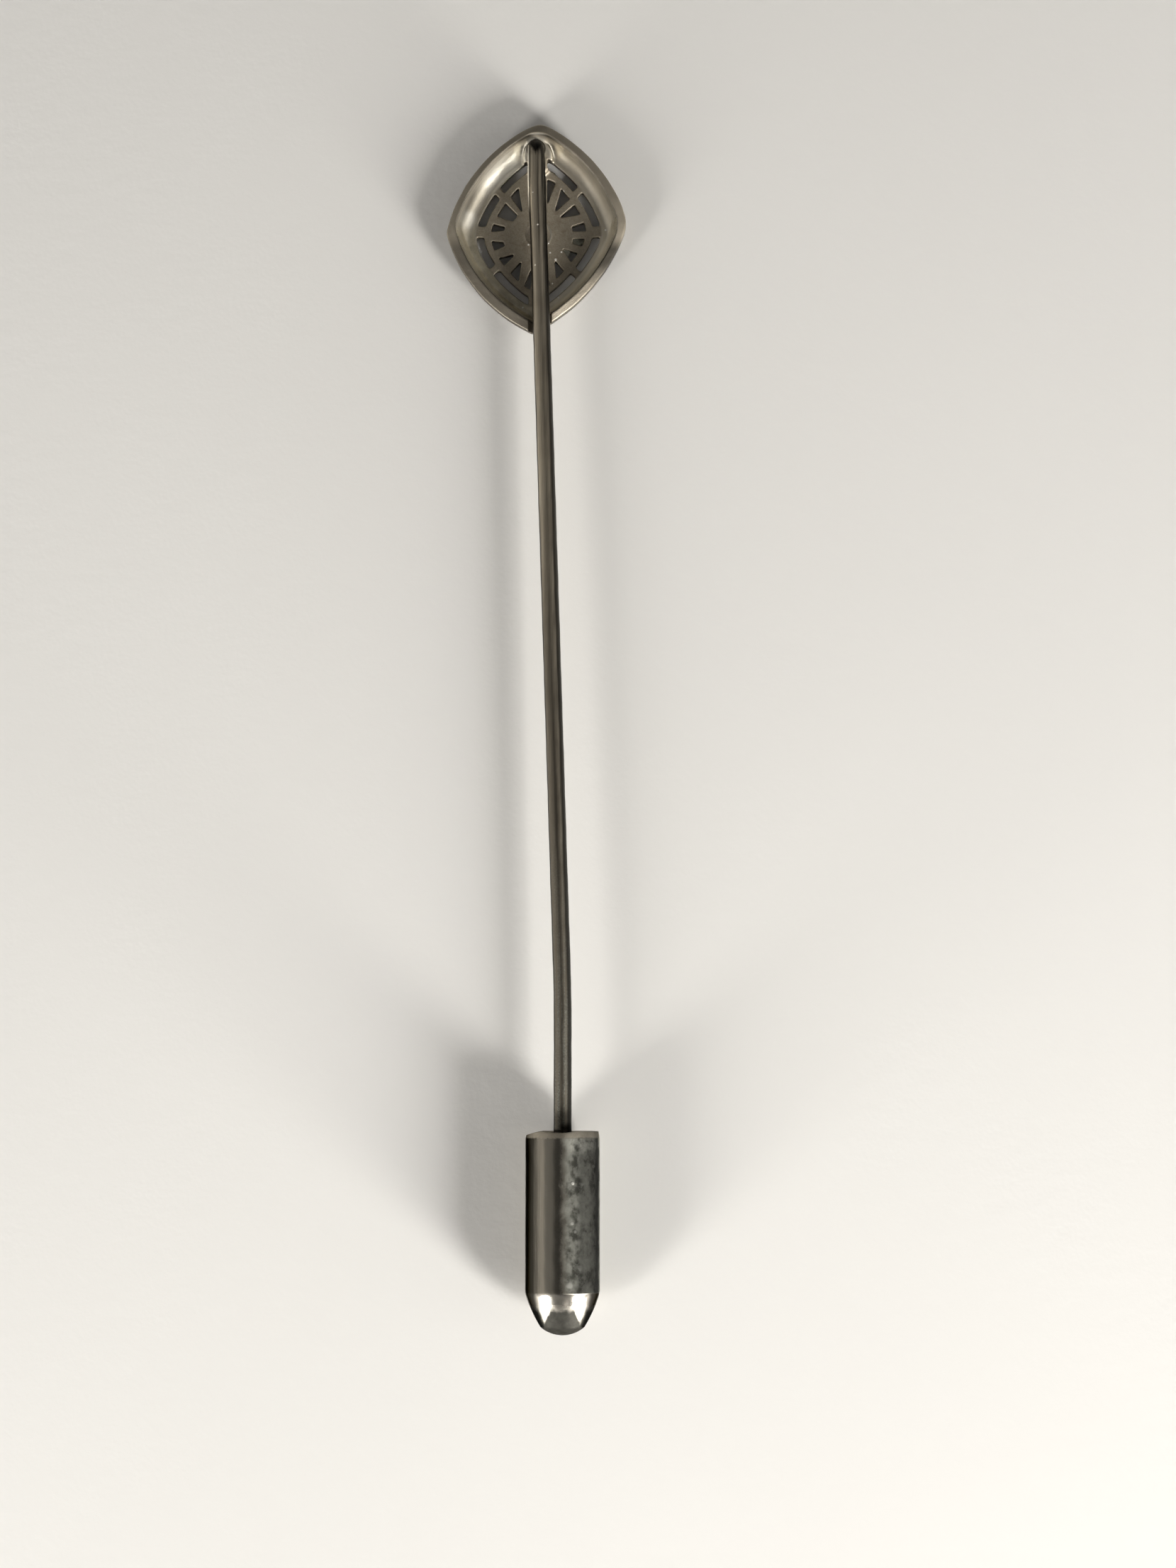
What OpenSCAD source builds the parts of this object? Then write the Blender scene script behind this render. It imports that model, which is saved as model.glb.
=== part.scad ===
// Stick pin lying face down: a pierced plaque head with its wire stem soldered on the back,
// and a bullet-shaped clutch pushed on the stem's point.
// Lengths in millimetres, angles in degrees. +Y runs from the clutch to the head, +Z away from the surface.

/* [Head] */
// Height of the head, from its front ridge to the crest of its rim
head_h = 1.70; // [1.5:0.05:2]
// Thickness of the sheet
sheet_t = 0.40; // [0.3:0.05:0.5]
// Drop of the bevelled edge from its crest to the outline
bevel_drop = 0.25; // [0.1:0.05:0.4]
// How far the pierced plate is set back behind the front ridge
plate_set = 0.20; // [0.1:0.05:0.25]
// Radius of the low boss in the middle of the plate
boss_r = 0.75; // [0.5:0.05:1]
// Height of that boss
boss_h = 0.08; // [0.05:0.01:0.12]
// Width of the notch that lets the stem pass the rim
notch_w = 1.30; // [1.15:0.05:1.5]

/* [Piercings] */
// Width of the eight slots round the ring
slot_w = 0.44; // [0.3:0.02:0.5]
// Width of the ring between the slots and the star
ring_w = 0.38; // [0.3:0.02:0.45]
// Width of a bar that crosses the slots at the middle of a side
side_bar_w = 0.42; // [0.3:0.02:0.6]
// Width of a bar that crosses the slots at a corner on the left or right
end_bar_w = 0.66; // [0.5:0.02:0.8]
// Width of the bars at the top and bottom corners
stem_bar_w = 1.15; // [0.9:0.05:1.3]

/* [Stem] */
// Diameter of the wire
wire_d = 1.02; // [0.9:0.02:1.1]
// Angle of the slight set bent into the wire above the clutch
set_bend = 1.92; // [1.5:0.1:2.2]
// How far that set leans towards the surface, away from level
set_roll = 14.4; // [12:0.2:16]
// Length of the plain straight stretch above the clutch
plain_l = 6.0; // [5:0.5:7]
// Length of the ground taper inside the clutch
taper_l = 8.9; // [7:0.1:9]

/* [Clutch] */
// Outer diameter
clutch_d = 4.24; // [4.1:0.02:4.4]
// Length from the mouth to the tip
clutch_l = 11.49; // [11:0.05:12]
// Length of the rounded nose
nose_l = 2.41; // [2.2:0.05:2.6]
// Thickness of the shell
shell_t = 0.36; // [0.3:0.02:0.45]
// How far the grip lies inside the mouth
grip_in = 0.50; // [0.4:0.05:0.7]
// Clearance of the stem in the grip
grip_gap = 0.03; // [0.02:0.01:0.06]

/* [Hidden] */
$fn = 96;
cut = 1;        // how far a cutting shape runs past the surface
seam = 0.02;    // how far two shapes of one solid run into each other

// The four sides of the plaque bulge as arcs. facing: direction that the middle of the side looks in.
// reach: its distance from the centre of the star. radius: of the arc. border: rim to slots.
// bevel: rim to crest.
SIDES = [
    [29.0, 5.17, 9.63, 1.56, 0.54],
    [151.0, 5.08, 9.47, 1.60, 0.42],
    [213.0, 5.05, 9.32, 1.54, 0.60],
    [324.4, 4.64, 10.97, 1.27, 0.48]
];
function side_centre(s) = (s[1] - s[2]) * [cos(s[0]), sin(s[0])];
function side_radius(s) = s[2];
function side_border(s) = s[3];
function side_bevel(s) = s[4];

// Holes round the star. from, to: directions of the hole's outer corners. tip: direction of its
// inner end. tip_r: distance of that end from the centre. blunt: half the angle of a cut-off end.
STAR_HOLES = [
    [4.1, 16.4, 10.2, 2.05, 4],
    [23.5, 40.7, 38.7, 1.69, 1],
    [48.2, 65.1, 54.7, 1.78, 1],
    [71.5, 80.8, 73.8, 2.0, 1],
    [94.0, 100.4, 98.5, 2.05, 1],
    [110.6, 125.4, 123.5, 1.72, 1],
    [134.4, 156.5, 143.4, 1.69, 8],
    [165.7, 178.0, 169.0, 2.0, 3],
    [185.1, 200.4, 195.5, 2.06, 3.5],
    [207.5, 223.7, 220.2, 1.86, 1],
    [233.7, 249.5, 238.6, 1.91, 1],
    [254.8, 262.3, 260.0, 2.14, 1],
    [277.5, 284.0, 281.0, 2.10, 1],
    [289.7, 306.4, 302.5, 1.87, 1],
    [316.4, 336.5, 329.5, 1.73, 1.5],
    [344.7, 355.9, 349.8, 2.10, 4]
];
// Bars across the slots. direction, width.
BARS = [
    [3.2, end_bar_w], [48.0, side_bar_w], [90.5, stem_bar_w], [132.0, side_bar_w],
    [176.8, end_bar_w], [219.2, side_bar_w], [270.5, stem_bar_w], [314.5, side_bar_w]
];

// Places of the stem and the clutch, seen from the centre of the star
clutch_x = 1.51;
mouth_y = -52.63;
taper_y = mouth_y - 0.3;                 // the taper starts just inside the mouth
set_y = mouth_y + plain_l;
axis_z = clutch_d / 2;
set_r = 100;                             // radius of the set in the wire
elbow_r = 0.75;
stem_top_y = 5.59;
elbow_y = stem_top_y - wire_d / 2 - elbow_r;
run_l = (elbow_y - set_y) / cos(set_bend) - set_r * tan(set_bend / 2) * 2;
notch_y = -4.6;
lean_x = tan(set_bend) * cos(set_roll);
lean_z = tan(set_bend) * sin(set_roll);
function stem_x(y) = clutch_x - lean_x * (y - set_y - set_r * tan(set_bend / 2));
function stem_z(y) = axis_z - lean_z * (y - set_y - set_r * tan(set_bend / 2));
solder_r = 1.15;
solder_h = 1.15;

shell_bore_r = clutch_d / 2 - shell_t;
shell_bore_l = clutch_l - nose_l - 0.2;  // the straight bore ends just before the nose
grip_fit = 0.03;                         // clearance between the grip and the shell

// Widths across the border, which runs from the rim to the slots
land_w = 0.35;                           // floor beside the slots
skirt_w = 0.15;                          // that floor is this much wider in front
step_w = 0.22;                           // slope from the floor up to the plate
step_in = 0.08;                          // strip of plate between that slope and the slots
trough_power = 2.4;                      // how fast the trough's wall flattens out towards the plate

// Where the arcs of two neighbouring sides meet: the nearer of the two points is the corner
function meet(a, b) =
    let (ca = side_centre(a), cb = side_centre(b), ra = side_radius(a), rb = side_radius(b))
    let (gap = norm(cb - ca), along = (cb - ca) / gap, across = [-along[1], along[0]])
    let (u = (gap * gap + ra * ra - rb * rb) / (2 * gap), v = sqrt(ra * ra - u * u))
    let (one = ca + u * along + v * across, two = ca + u * along - v * across)
    norm(one) < norm(two) ? one : two;
right_x = meet(SIDES[3], SIDES[0])[0];
top_y = meet(SIDES[0], SIDES[1])[1];
left_x = meet(SIDES[1], SIDES[2])[0];
tip_y = mouth_y - clutch_l;

// Quarter of an ellipse from the wall [0, b] down to the foot [a, 0], in steps of 15 degrees
function cove(a, b) = [for (t = [0 : 15 : 90]) [a * (1 - cos(t)), b * (1 - sin(t))]];

// Wall from [0, b] down to [a, 0], steep at first and then ever flatter
function scoop(a, b) = [for (t = [0 : 1 / 8 : 1]) [a * t, b * pow(1 - t, trough_power)]];

// Profiles of one side. Each is written as distance in from the rim and height, from the rim inwards.
function front_foot(s) = side_border(s) - land_w - skirt_w;
function outer_profile(s) = concat(
    [[side_bevel(s), head_h], [0, head_h - bevel_drop]],
    [for (p = cove(front_foot(s), head_h - sheet_t)) p]
);
function trough_profile(s) =
    let (crest = side_bevel(s), wide = side_border(s) - step_in - crest)
    concat(
        [[crest, head_h + cut]],
        [for (p = scoop(wide, head_h - sheet_t)) p + [crest, sheet_t]]
    );
function plate_profile(s, base, top) = [
    [side_border(s) - step_in, top], [side_border(s) - step_in - step_w, base]
];

// Turns a profile of one side about that side's own centre
module turned(s, profile) {
    first = profile[0];
    last = profile[len(profile) - 1];
    translate(side_centre(s))
        rotate_extrude()
            polygon(concat(
                [[0, first[1]]],
                [for (p = profile) [side_radius(s) - p[0], p[1]]],
                [[0, last[1]]]
            ));
}

// Outline of the plaque, this far in from its rim
module inset(extra) {
    intersection_for (s = SIDES)
        translate(side_centre(s))
            circle(r = side_radius(s) - side_border(s) - extra);
}

module plaque_form() {
    intersection_for (s = SIDES)
        turned(s, outer_profile(s));
}

module trough_form() {
    intersection_for (s = SIDES)
        turned(s, trough_profile(s));
}

module plate_form() {
    intersection_for (s = SIDES)
        turned(s, plate_profile(s, sheet_t - cut / 10, sheet_t + plate_set));
    cylinder(r = boss_r, h = sheet_t + plate_set + boss_h);
}

module front_recess() {
    intersection_for (s = SIDES)
        turned(s, plate_profile(s, 0, plate_set));
}

module slots() {
    far_r = 8;
    difference() {
        inset(0);
        inset(slot_w);
        for (b = BARS)
            rotate(b[0])
                translate([0, -b[1] / 2])
                    square([far_r, b[1]]);
    }
}

function ray(angle, r) = r * [cos(angle), sin(angle)];

// A hole's flanks run from its inner end out past the ring
module star_holes() {
    far_r = 3.4;
    intersection() {
        inset(slot_w + ring_w);
        for (h = STAR_HOLES)
            polygon([
                ray(h[2] - h[4], h[3]), ray(h[0], far_r), ray(h[1], far_r), ray(h[2] + h[4], h[3])
            ]);
    }
}

module piercings() {
    translate([0, 0, -cut])
        linear_extrude(head_h)
            union() {
                slots();
                star_holes();
            }
}

// Cut down through the rim under the stem, a little wider on the stem's left
module notch() {
    below = 0.1;
    off_left = 0.06;
    run = 3;
    translate([
        stem_x(notch_y) - notch_w / 2 - off_left, notch_y - run, stem_z(notch_y) - wire_d / 2 - below
    ])
        cube([notch_w, run, head_h]);
}

// Solder drawn up round the stem's foot
module solder() {
    neck_r = wire_d / 2 - 3 * seam;
    buried = 0.1;
    translate([stem_x(stem_top_y - wire_d / 2), stem_top_y - wire_d / 2, 0])
        rotate_extrude()
            polygon(concat(
                [[0, solder_h]],
                [for (p = cove(solder_r - neck_r, solder_h - sheet_t)) p + [neck_r, sheet_t]],
                [[solder_r, sheet_t - buried], [0, sheet_t - buried]]
            ));
}

module plaque() {
    difference() {
        plaque_form();
        difference() {
            trough_form();
            plate_form();
            solder();
        }
        front_recess();
        piercings();
        notch();
    }
}

// Two stretches of the wire join in a bead that stands out by five microns
module joint_bead() {
    sphere(d = wire_d + 0.01);
}

module ground_point() {
    rotate([90, 0, 0])
        rotate_extrude()
            polygon([
                [0, 0], [wire_d / 2, 0], [0.46 * wire_d, 0.38 * taper_l], [0.35 * wire_d, 0.71 * taper_l],
                [0.05 * wire_d, taper_l], [0, taper_l]
            ]);
}

// The wire from its point to the head. The set turns it left and down, then the elbow turns it
// into the trough at the top of the head.
module stem() {
    straight_l = set_y - taper_y;
    translate([clutch_x, set_y, axis_z])
        rotate([0, -set_roll, 0]) {
            translate([0, -straight_l, 0])
                ground_point();
            rotate([90, 0, 0])
                cylinder(d = wire_d, h = straight_l);
            joint_bead();
            translate([-set_r, 0, 0]) {
                rotate_extrude(angle = set_bend)
                    translate([set_r, 0])
                        circle(d = wire_d);
                rotate([0, 0, set_bend])
                    translate([set_r, 0, 0])
                        long_run();
            }
        }
}

module long_run() {
    joint_bead();
    rotate([-90, 0, 0])
        cylinder(d = wire_d, h = run_l);
    translate([0, run_l, 0])
        rotate([0, set_roll, 0])
            elbow();
}

module elbow() {
    foot_z = sheet_t / 2 - stem_z(elbow_y);
    joint_bead();
    translate([0, 0, -elbow_r])
        rotate([90, 0, 90])
            rotate_extrude(angle = 90)
                translate([elbow_r, 0])
                    circle(d = wire_d);
    translate([0, elbow_r, -elbow_r])
        joint_bead();
    translate([0, elbow_r, foot_z])
        cylinder(d = wire_d, h = -elbow_r - foot_z);
}

// The nose narrows along a long arc and ends in a round cap
module nose_profile() {
    flank_r = 7.3;
    flank_lean = 15.6;
    cap_r = 1.93;
    cap_y = 1.95;
    intersection() {
        translate([clutch_d / 2 - flank_r * cos(flank_lean), -flank_r * sin(flank_lean)])
            circle(r = flank_r);
        union() {
            square([clutch_d / 2, cap_y]);
            intersection() {
                translate([0, nose_l - cap_r])
                    circle(r = cap_r);
                square([clutch_d / 2, nose_l]);
            }
        }
    }
}

module clutch_profile() {
    lip_l = 0.38;
    lip_in = 0.06;
    polygon([
        [0, 0], [clutch_d / 2 - lip_in, 0], [clutch_d / 2, lip_l],
        [clutch_d / 2, clutch_l - nose_l], [0, clutch_l - nose_l]
    ]);
    translate([0, clutch_l - nose_l])
        nose_profile();
}

// Puts a shape that is turned about +Z, mouth at zero, onto the stem
module on_stem() {
    translate([clutch_x, mouth_y, axis_z])
        rotate([90, 0, 0])
            children();
}

module shell() {
    nose_bore_r = 0.9;
    on_stem()
        difference() {
            rotate_extrude()
                clutch_profile();
            translate([0, 0, -cut])
                cylinder(r = shell_bore_r, h = cut + shell_bore_l);
            translate([0, 0, shell_bore_l - seam])
                cylinder(r1 = shell_bore_r, r2 = nose_bore_r, h = nose_l - shell_t);
        }
}

module grip() {
    grip_l = shell_bore_l - grip_in;
    bore_r = wire_d / 2 + grip_gap;
    funnel_r = 0.85;
    funnel_l = 0.5;
    on_stem()
        translate([0, 0, grip_in])
            difference() {
                cylinder(r = shell_bore_r - grip_fit, h = grip_l);
                translate([0, 0, -cut])
                    cylinder(r = bore_r, h = grip_l + 2 * cut);
                translate([0, 0, -seam])
                    cylinder(r1 = funnel_r, r2 = bore_r, h = funnel_l);
            }
}

// The origin is on the surface, under the middle of the whole pin
module at_origin() {
    translate([-(left_x + right_x) / 2, -(top_y + tip_y) / 2, 0])
        children();
}

module head_and_stem() {
    color([0.42, 0.39, 0.34])
        at_origin() {
            plaque();
            stem();
        }
}

module clutch_shell() {
    color([0.46, 0.46, 0.42])
        at_origin()
            shell();
}

module clutch_grip() {
    color([0.55, 0.47, 0.30])
        at_origin()
            grip();
}

head_and_stem();
clutch_shell();
clutch_grip();
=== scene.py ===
# Looks of a stick pin that lies face down: a dished, pierced plaque, the wire stem soldered on its
# back, and the end clutch on the stem's point.
import math
import bpy
import numpy as np
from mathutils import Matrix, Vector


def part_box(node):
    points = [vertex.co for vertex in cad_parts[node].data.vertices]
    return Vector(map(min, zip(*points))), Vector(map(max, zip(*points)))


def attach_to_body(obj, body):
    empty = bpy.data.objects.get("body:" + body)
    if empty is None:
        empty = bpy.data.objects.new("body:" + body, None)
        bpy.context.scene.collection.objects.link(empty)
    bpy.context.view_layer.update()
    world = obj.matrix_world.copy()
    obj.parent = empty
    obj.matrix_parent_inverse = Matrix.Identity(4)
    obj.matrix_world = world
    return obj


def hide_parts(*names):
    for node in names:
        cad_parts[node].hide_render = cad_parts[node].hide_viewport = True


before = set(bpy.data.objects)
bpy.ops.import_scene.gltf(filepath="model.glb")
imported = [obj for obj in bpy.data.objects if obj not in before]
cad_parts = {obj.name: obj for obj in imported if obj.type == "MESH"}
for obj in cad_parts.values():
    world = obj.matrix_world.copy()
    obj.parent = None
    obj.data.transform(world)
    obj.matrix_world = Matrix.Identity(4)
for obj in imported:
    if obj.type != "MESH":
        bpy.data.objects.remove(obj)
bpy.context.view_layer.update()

# The shapes are worked out in millimetres, seen from the centre of the star in the plaque. Their
# dimensions and the tables of the sides, holes and bars are those of the CAD source, where it has
# them.
MM = 0.001

# Plaque
APEX_OVER_STAR = 6.584  # from the star's centre to the head's upper end
MIDDLE_BESIDE_STAR = -0.031  # of the head's box
HEAD_H = 1.70
BELOW_HEAD = -6.5  # further down than its lower end
SHEET_T = 0.40
BEVEL_DROP = 0.25  # from the crest to the outline
TROUGH_LAND = 0.08  # flat beside the slots
TROUGH_POWER = 2.4  # how fast the trough's wall flattens out towards the plate
LAND_W = 0.35  # floor beside the slots
SKIRT_W = 0.15  # that floor is this much wider in front
PLATE_SET = 0.20  # the plate over that floor, and set back behind the front
STEP_W = 0.22  # slope from the floor up to the plate
STEP_IN = 0.08  # strip of plate between that slope and the slots
SLOT_W = 0.44
RING_W = 0.38  # between the slots and the star
HOLE_TO_R = 3.4  # the star's holes are drawn out to this, and the ring cuts them off before it
PLATE_SUNK = 0.1  # how far the slope goes on below the floor
BOSS_R = 0.75
BOSS_RIDGE = 0.05  # height of the ridge round the boss
BOSS_RIDGE_W = 0.08
BOSS_SUNK = 0.03  # how far the boss lies below the plate inside its ridge
BOSS_EASE = 0.04
NOTCH_Y = -4.6
NOTCH_W = 1.30
NOTCH_ASIDE = 0.06  # its middle is this far to the left of the wire
NOTCH_UNDER = 0.1  # its floor is this far under the wire

# Stem
WIRE_D = 1.02
SET_BEND = math.radians(1.92)  # of the slight set above the clutch
SET_ROLL = math.radians(14.4)  # how far that set leans towards the surface
SET_R = 100.0
PLAIN_L = 6.0  # from the clutch to the set
TAPER_IN = 0.3  # from the clutch's mouth to the taper
TAPER_L = 8.9
ELBOW_R = 0.75
STEM_TOP_Y = 5.59
FOOT_Z = 0.3
SPACING = 0.15  # of the points along the wire
END_POINTS = 40  # the last of them, which turn down into the trough

# Clutch
RUN_CLEAR = 0.03  # round the grip and inside it
GRIP_FROM = 0.5  # behind the mouth
FUNNEL_TO = 1.0
FUNNEL_R = 0.85
SHELL_T = 0.36
LIP_L = 0.38
LIP_IN = 0.06
NOSE_L = 2.41
FLANK_R = 7.3  # of the long arc at each side of the nose
FLANK_LEAN = math.radians(15.6)  # of that arc at the shoulder
CAP_R = 1.93
CAP_FROM = 1.95  # behind the shoulder
CAP_HALF = 0.70  # half the angle that the cap spans, in radians
SHOULDER_EASE = 0.3
BORE_SHORT = 0.2  # the bore's straight part ends this far in front of the shoulder
BORE_END_L = 1.2  # of its narrowing end
BORE_END_R = 0.9
BORE_EDGE = 0.05  # the bore widens by this at the mouth

# facing: direction that the middle of a side looks in. reach: its distance from the star's centre.
# radius: of its arc. border: width from the rim to the slots. bevel: from the rim to the crest.
SIDES = (
    {"facing": 29.0, "reach": 5.17, "radius": 9.63, "border": 1.56, "bevel": 0.54},
    {"facing": 151.0, "reach": 5.08, "radius": 9.47, "border": 1.60, "bevel": 0.42},
    {"facing": 213.0, "reach": 5.05, "radius": 9.32, "border": 1.54, "bevel": 0.60},
    {"facing": 324.4, "reach": 4.64, "radius": 10.97, "border": 1.27, "bevel": 0.48},
)
# How round the corner between each side and the next one is: top, left, bottom, right
CORNER_ROUND = (0.30, 0.10, 0.10, 0.50)
CREST_ROUND = (0.70, 0.20, 0.20, 0.55)
PLATE_ROUND = (0.3, 0.3, 0.3, 0.3)
SLOT_ROUND = (0.9, 0.6, 0.9, 0.6)

# How round the edges are, or the hollows where two surfaces meet
ROUND = {
    "front": 0.08, "rim": 0.12, "crest": 0.10, "plate": 0.05, "plate_foot": 0.18,
    "slot": 0.06, "bar": 0.16, "hole": 0.10, "piercing": 0.07,
    "recess": 0.1, "recess_mouth": 0.08, "notch": 0.1, "notch_mouth": 0.07,
    "solder": 0.22, "solder_fill": 0.4, "solder_side": 0.3, "solder_join": 0.15,
    "solder_foot": 0.20, "residue": 0.06, "shoulder": 0.05,
}

# The solder beside the wire's foot. left, right: half its width on each side. down: from the
# wire's end to its middle. long: half its length. top, rise: its height, and how much that grows
# towards the wire's end. The fill closes the corner above it.
SOLDER = {
    "left": 0.76, "right": 0.98, "down": 1.02, "long": 1.12, "top": 1.22, "rise": 0.12,
    "fill_top": 1.18, "fill_x": 0.05, "fill_half": 1.0, "fill_low": -0.35, "fill_lean": 0.5,
}

# Holes round the star. start, end: directions of the hole's outer corners. tip: direction of its
# inner end. tip_r: distance of that end from the centre. blunt: half the angle of a cut-off end.
STAR_HOLES = (
    {"start": 4.1, "end": 16.4, "tip": 10.2, "tip_r": 2.05, "blunt": 4},
    {"start": 23.5, "end": 40.7, "tip": 38.7, "tip_r": 1.69, "blunt": 1},
    {"start": 48.2, "end": 65.1, "tip": 54.7, "tip_r": 1.78, "blunt": 1},
    {"start": 71.5, "end": 80.8, "tip": 73.8, "tip_r": 2.00, "blunt": 1},
    {"start": 94.0, "end": 100.4, "tip": 98.5, "tip_r": 2.05, "blunt": 1},
    {"start": 110.6, "end": 125.4, "tip": 123.5, "tip_r": 1.72, "blunt": 1},
    {"start": 134.4, "end": 156.5, "tip": 143.4, "tip_r": 1.69, "blunt": 8},
    {"start": 165.7, "end": 178.0, "tip": 169.0, "tip_r": 2.00, "blunt": 3},
    {"start": 185.1, "end": 200.4, "tip": 195.5, "tip_r": 2.06, "blunt": 3.5},
    {"start": 207.5, "end": 223.7, "tip": 220.2, "tip_r": 1.86, "blunt": 1},
    {"start": 233.7, "end": 249.5, "tip": 238.6, "tip_r": 1.91, "blunt": 1},
    {"start": 254.8, "end": 262.3, "tip": 260.0, "tip_r": 2.14, "blunt": 1},
    {"start": 277.5, "end": 284.0, "tip": 281.0, "tip_r": 2.10, "blunt": 1},
    {"start": 289.7, "end": 306.4, "tip": 302.5, "tip_r": 1.87, "blunt": 1},
    {"start": 316.4, "end": 336.5, "tip": 329.5, "tip_r": 1.73, "blunt": 1.5},
    {"start": 344.7, "end": 355.9, "tip": 349.8, "tip_r": 2.10, "blunt": 4},
)
# Bars across the slots
BARS = (
    {"towards": 3.2, "width": 0.66}, {"towards": 48.0, "width": 0.42},
    {"towards": 90.5, "width": 1.15}, {"towards": 132.0, "width": 0.42},
    {"towards": 176.8, "width": 0.66}, {"towards": 219.2, "width": 0.42},
    {"towards": 270.5, "width": 1.15}, {"towards": 314.5, "width": 0.42},
)
# Old polishing paste left in the holes. half: half of its size each way.
RESIDUE = (
    {"middle": (2.30, -0.47, 0.38), "half": (0.30, 0.30, 0.17)},
    {"middle": (2.62, -0.38, 0.36), "half": (0.22, 0.20, 0.14)},
    {"middle": (1.66, -1.02, 0.38), "half": (0.26, 0.30, 0.16)},
    {"middle": (0.80, 3.62, 0.40), "half": (0.24, 0.30, 0.17)},
)
# Tiny beads on the plate and in the trough, painted as bright glints, in millimetres
BEAD_GLINTS = (
    {"x": 1.49, "y": 2.62, "r": 0.10}, {"x": 0.72, "y": -1.08, "r": 0.07},
    {"x": 0.63, "y": -0.52, "r": 0.05}, {"x": 1.05, "y": -1.50, "r": 0.10},
    {"x": 1.39, "y": -1.04, "r": 0.07}, {"x": 0.86, "y": -2.94, "r": 0.06},
    {"x": 1.21, "y": -3.78, "r": 0.07}, {"x": -0.89, "y": -4.37, "r": 0.07},
    {"x": -0.56, "y": -0.60, "r": 0.06}, {"x": 3.99, "y": 0.30, "r": 0.08},
)
# A spot in the trough with a painted highlight
GLINT_SPOT = {"x": -4.15, "y": 0.85, "r": 0.75}
# Tiny beads on the wire, painted as bright glints
WIRE_BEAD_GLINTS = (
    {"x": 0.01, "y": 0.18, "r": 0.07},
    {"x": -0.28, "y": 2.13, "r": 0.05},
    {"x": -0.13, "y": -2.24, "r": 0.06},
)
# Bright nicks on the clutch, seen from the middle of its mouth
NICKS = (
    {"x": 0.58, "y": -2.90, "r": 0.12, "bright": 1.0},
    {"x": -0.08, "y": -3.02, "r": 0.14, "bright": 0.4},
    {"x": 1.13, "y": -2.94, "r": 0.12, "bright": 0.3},
    {"x": 1.76, "y": -1.98, "r": 0.13, "bright": 0.4},
    {"x": 0.55, "y": -5.15, "r": 0.12, "bright": 0.5},
    {"x": 0.72, "y": -5.60, "r": 0.11, "bright": 0.4},
    {"x": 0.40, "y": -8.60, "r": 0.24, "bright": 0.4},
    {"x": 1.00, "y": -7.60, "r": 0.20, "bright": 0.3},
)

# Waves in the surfaces. size: width of a wave's bumps. high: its height.
CAST_WAVES = (
    {"size": 0.9, "seed": 3, "high": 0.007},
    {"size": 0.3, "seed": 5, "high": 0.0015},
)
RESIDUE_WAVES = ({"size": 0.16, "seed": 7, "high": 0.015},)
DENTS = (
    {"size": 1.3, "seed": 21, "high": 0.005},
    {"size": 0.4, "seed": 22, "high": 0.002},
)
DENTED_BELOW = 0.006  # the shell is dented where its waves are lower than this

# The wire's unevenness. high: of its waves. often, start: their angle a millimetre, and at first.
UNEVEN = (
    {"high": 0.004, "often": 1.7, "start": 0.0},
    {"high": 0.003, "often": 4.3, "start": 1.0},
)

# Wear of the clutch's mouth. reach: how far down the wall it goes. top: dip at the top. wave: how
# much that dip varies. left: dip on the left, which grows over left_over from left_from, in radii.
LIP_WEAR = {
    "reach": 0.3, "top": 0.04, "wave": 0.06, "left": 0.22, "left_from": 0.55, "left_over": 0.45,
}

# Radius of the wire, in wire diameters, at shares of the taper's length from its point
TAPER = {0.0: 0.05, 0.29: 0.35, 0.62: 0.46, 1.0: 0.5}
TIP_R = 0.02

# Faces round each turned or drawn piece
STEM_SIDES = 72
SHELL_SIDES = 160
GRIP_SIDES = 96

# The cells that the plaque is worked out in, and the box that they fill
CELL = 0.06
GRID_LOW = (-5.7, -6.9, -0.2)
GRID_HIGH = (5.7, 6.9, 1.95)
HOLLOW_REACHES = (0.08, 0.16, 0.32, 0.6)  # how far off the surface its hollowness is looked at
FAR = 9.0  # further than the head is wide
TINY = 1e-6

head_low, head_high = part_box("head_and_stem")
STAR = np.array([
    (head_low.x + head_high.x) / 2 / MM - MIDDLE_BESIDE_STAR,
    head_high.y / MM - APEX_OVER_STAR,
    0.0,
])
clutch_low, clutch_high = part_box("clutch_shell")
CLUTCH_R = (clutch_high.x - clutch_low.x) / 2 / MM
CLUTCH_L = (clutch_high.y - clutch_low.y) / MM
SHOULDER = CLUTCH_L - NOSE_L
CLUTCH_X = (clutch_high.x + clutch_low.x) / 2 / MM - STAR[0]
CLUTCH_Z = (clutch_high.z + clutch_low.z) / 2 / MM
MOUTH_Y = clutch_high.y / MM - STAR[1]
SET_Y = MOUTH_Y + PLAIN_L


# Helpers for shapes

def ray(angle, r):
    """Point at this direction, in degrees, and distance."""
    return r * np.array([math.cos(math.radians(angle)), math.sin(math.radians(angle))])


def soft_max(a, b, k):
    """Larger of two fields, with the edge between them rounded over about k."""
    blend = np.maximum(k - np.abs(a - b), 0) / k
    return np.maximum(a, b) + blend * blend * k / 4


def soft_min(a, b, k):
    return -soft_max(-a, -b, k)


def waves(points, size, seed):
    """Smooth irregular height between about -1 and 1, whose bumps are about this size."""
    random = np.random.default_rng(seed)
    total = np.zeros(len(points))
    for _ in range(14):
        way = random.normal(size=3)
        way /= np.linalg.norm(way)
        length = size * random.uniform(1.4, 3.0)
        total += np.sin(points @ way * (2 * math.pi / length) + random.uniform(0, 2 * math.pi))
    return total / 4


def relief(points, table):
    return sum(row["high"] * waves(points, row["size"], row["seed"]) for row in table)


def ellipsoid(points, middle, half):
    scaled = (points - np.array(middle)) / np.array(half)
    return (np.linalg.norm(scaled, axis=1) - 1) * min(half)


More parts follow.
